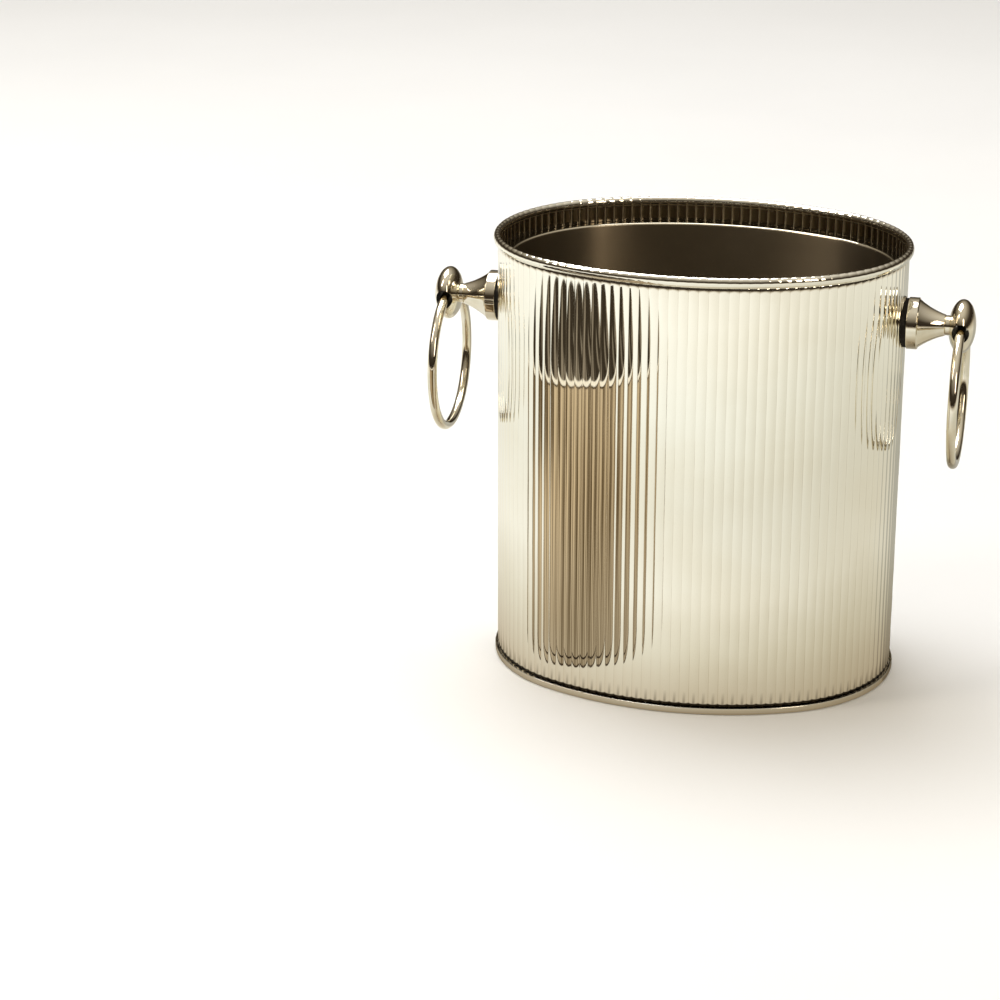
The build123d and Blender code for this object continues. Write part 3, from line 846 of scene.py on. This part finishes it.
# place and target in metres, size in metres, power in watts
area_light("overhead", (-0.8, 0.9, 3.2), (0, 0, 0), (2.3, 2.3), 90)
area_light("left", (-1.5, -0.9, 1.7), (-0.2, -0.3, 0), (0.5, 1.1), 10, (1, 0.9, 0.76))
area_light("right", (1.6, -1.5, 1.25), (0.1, 0, 0.1), (0.6, 1.1), 9, (1, 0.86, 0.68))


def lightless(piece, camera=False, metal=False):
    """Stages a card that lights nothing and casts no shadow, seen only by what is named."""
    piece.visible_camera = camera
    piece.visible_glossy = metal
    piece.visible_diffuse = False
    piece.visible_shadow = False


def glowing(name):
    """A matt card lit evenly: its colour alone is seen."""
    recipe = Recipe(name, 0.0, 1.0)
    recipe.shader.inputs["Base Color"].default_value = (0, 0, 0, 1)
    recipe.shader.inputs["Specular IOR Level"].default_value = 0.0
    recipe.shader.inputs["Emission Strength"].default_value = 1.0
    return recipe


# painted light and shadow of the tabletop outward from the bucket's middle, in metres along its width: shadow
# dark and tan at the foot, pale further out, dim far away
TABLE_SPAN = 4.0
TABLE_LIGHT_AND_SHADOW = (
    (0.0965, (0.24, 0.19, 0.125)),
    (0.101, (0.46, 0.40, 0.30)),
    (0.110, (0.54, 0.475, 0.375)),
    (0.125, (0.58, 0.525, 0.425)),
    (0.18, (0.71, 0.68, 0.585)),
    (0.27, (0.86, 0.845, 0.775)),
    (0.44, (0.82, 0.815, 0.75)),
    (0.62, (0.885, 0.89, 0.83)),
    (0.9, (1.0, 1.0, 0.95)),
    (1.4, (0.80, 0.76, 0.68)),
    (2.4, (0.36, 0.31, 0.235)),
    (3.9, (0.10, 0.08, 0.055)),
)
# painted light at the left and painted shadow towards the right
BRIGHT_SIDE, DIM_SIDE = (1.12, 1.12, 1.12), (0.83, 0.805, 0.75)
DIM_HEADING = (0.94, 0.34, 0)         # towards the right and a little behind
BUCKET_END = (HALF_LENGTH, -20 * MM, 0)


def table_card():
    """A glowing card in the tabletop's place, seen only in the metal, a painted reflection: pale in front and
    at the left, tan with painted shadow at the foot, dim far away.
    """
    card = stage_square("table_card", 5.5, 0.2 * MM, FLOOR_PAINT)
    lightless(card, metal=True)
    recipe = glowing("table_tones")
    away = recipe.vector("LENGTH", recipe.vector("MULTIPLY", recipe.place, (HALF_WIDTH / HALF_LENGTH, 1, 0)))
    tones = recipe.ramp(recipe.math("DIVIDE", away, TABLE_SPAN),
                        [(place / TABLE_SPAN, colour) for place, colour in TABLE_LIGHT_AND_SHADOW])
    heading = recipe.vector("NORMALIZE", recipe.place)
    toward = recipe.vector("DOT_PRODUCT", heading, DIM_HEADING)
    tint = recipe.mix(recipe.spread(toward, -0.9, 1.0), BRIGHT_SIDE, DIM_SIDE)
    recipe.link(recipe.vector("MULTIPLY", tones, tint), recipe.shader.inputs["Emission Color"])

    # painted shadow, dimmer in a wedge behind the bucket's right end, which gives that end its crisp stripes
    from_end = recipe.vector("NORMALIZE", recipe.vector("SUBTRACT", recipe.place, BUCKET_END))
    behind = recipe.spread(recipe.split(from_end)[1], 0.73, 0.86, 1.0, 0.62)
    recipe.link(behind, recipe.shader.inputs["Emission Strength"])
    dress(card, recipe.made)


WALL_TALL = 5.0
WALL_LOW, WALL_HIGH = (0.42, 0.405, 0.38), (0.62, 0.605, 0.58)


def paper_wall():
    """Pale paper all round the floor, for views from low down; only the camera sees it."""
    columns = 64
    turn = np.arange(columns) / columns * 2 * pi
    foot = np.stack([np.cos(turn), np.sin(turn), np.zeros(columns)], -1) * (FLOOR_HALF - 0.05)
    points = np.stack([foot, foot + np.array([0, 0, WALL_TALL])])
    wall = grid_object("paper_wall", points, close_rows=False, body=None)
    lightless(wall, camera=True)
    recipe = glowing("paper_tones")
    height = recipe.split(recipe.place)[2]
    paper = recipe.mix(recipe.spread(height, 0, WALL_TALL / 2), WALL_LOW, WALL_HIGH)
    recipe.link(paper, recipe.shader.inputs["Emission Color"])
    dress(wall, recipe.made)


# a glowing drum at the front left, seen only in the metal: a painted reflection, as dark and tan stripes in
# the ribs
DRUM_PLACE = (-182 * MM, -191 * MM, 0)
DRUM_TURN = radians(30)
DRUM_TALL = 184 * MM
DRUM_RIM = 2.4 * MM
DRUM_GAP = (5.6 * MM, 7.4 * MM)       # a painted shadow line round it, a little above its foot
CONTACT_TALL = 2.1 * MM
LINE_SOFT = 0.4 * MM
TAN, TAN_STREAK = (0.66, 0.51, 0.32), (0.10, 0.065, 0.03)
FOOT_TAN, FOOT_STREAK = (0.46, 0.375, 0.26), (0.17, 0.125, 0.07)
RIM_LIGHT, BELOW_EDGE_SHADE = (0.98, 0.90, 0.74), (0.09, 0.06, 0.03)
GAP_SHADOW, CONTACT_SHADOW = (0.03, 0.02, 0.012), (0.06, 0.042, 0.025)
TOP_DARK, TOP_STREAK = (0.038, 0.028, 0.017), (0.28, 0.23, 0.165)


def reflection_drum():
    """An oval drum that glows, a painted reflection: a tan side, darker towards its foot, with a painted
    highlight edge and painted shade below it round a dark top of painted shade, and painted shadow lines near
    its foot.
    """
    points = oval_rows(plain, (0, 0, -8 * MM), (0, DRUM_TALL, DRUM_TALL))
    card = grid_object("reflection_drum", points, close_rows=False, caps=(-1,), body=None)
    card.location = DRUM_PLACE
    card.rotation_euler = (0, 0, DRUM_TURN)
    lightless(card, metal=True)
    recipe = glowing("card_tones")
    height = recipe.split(recipe.place)[2]

    stripes = recipe.spread(recipe.noise(150, stretch=(0.1, 1, 0.03), detail=2), 0.40, 0.62)
    low = recipe.mix(stripes, FOOT_TAN, FOOT_STREAK)
    side = recipe.mix(recipe.spread(height, 0, 0.7 * DRUM_TALL), low, recipe.mix(stripes, TAN, TAN_STREAK))
    rim = recipe.spread(height, DRUM_TALL - DRUM_RIM, DRUM_TALL - 0.9 * DRUM_RIM)
    side = recipe.mix(rim, side, RIM_LIGHT)
    under_rim = recipe.spread(height, DRUM_TALL - 1.6 * DRUM_RIM, DRUM_TALL - 1.5 * DRUM_RIM)
    side = recipe.mix(recipe.math("SUBTRACT", under_rim, rim), side, BELOW_EDGE_SHADE)
    gap_low = recipe.spread(height, DRUM_GAP[0], DRUM_GAP[0] + LINE_SOFT)
    gap_high = recipe.spread(height, DRUM_GAP[1] - LINE_SOFT, DRUM_GAP[1])
    side = recipe.mix(recipe.math("SUBTRACT", gap_low, gap_high), side, GAP_SHADOW)
    contact = recipe.spread(height, CONTACT_TALL - 2 * LINE_SOFT, CONTACT_TALL, 1.0, 0.0)
    side = recipe.mix(contact, side, CONTACT_SHADOW)

    streaks = recipe.spread(recipe.noise(40, stretch=(0.08, 1, 0.1), detail=2), 0.54, 0.66)
    dark = recipe.mix(streaks, TOP_DARK, TOP_STREAK)
    upward = recipe.split(recipe.node("ShaderNodeNewGeometry").outputs["Normal"])[2]
    tones = recipe.mix(recipe.spread(upward, 0.8, 0.95), side, dark)
    recipe.link(tones, recipe.shader.inputs["Emission Color"])
    dress(card, recipe.made)


table_card()
paper_wall()
reflection_drum()

# a dim warm horizon under a pale sky of studio paper
SKY_TONES = (
    (0.0, (0.03, 0.022, 0.015)),
    (0.22, (0.05, 0.038, 0.026)),
    (0.5, (0.30, 0.265, 0.21)),
    (0.9, (0.72, 0.67, 0.58)),
)
world = bpy.data.worlds.new("studio")
world.use_nodes = True
tree = world.node_tree
direction = tree.nodes.new("ShaderNodeTexCoord").outputs["Generated"]
split = tree.nodes.new("ShaderNodeSeparateXYZ")
sky = tree.nodes.new("ShaderNodeValToRGB")
fill_ramp(sky.color_ramp, SKY_TONES)
tree.links.new(direction, split.inputs["Vector"])
tree.links.new(split.outputs["Z"], sky.inputs["Fac"])
tree.links.new(sky.outputs["Color"], tree.nodes["Background"].inputs["Color"])
tree.nodes["Background"].inputs["Strength"].default_value = 1.0
bpy.context.scene.world = world
bpy.context.scene.view_settings.view_transform = "Standard"

# ---------------------------------------------------------------- camera
CAMERA_PLACE = (0.2675, -1.5931, 0.6839)
CAMERA_TURN = radians(13.8)           # away from a square view of the long side
CAMERA_PITCH = radians(19.9)          # looking down
SENSOR, LENS = 36.0, 100.4            # in millimetres
camera_data = bpy.data.cameras.new("camera")
camera_data.sensor_width = SENSOR
camera_data.lens = LENS
camera = bpy.data.objects.new("camera", camera_data)
camera.location = CAMERA_PLACE
camera.rotation_euler = (pi / 2 - CAMERA_PITCH, 0, CAMERA_TURN)
bpy.context.scene.collection.objects.link(camera)
bpy.context.scene.camera = camera
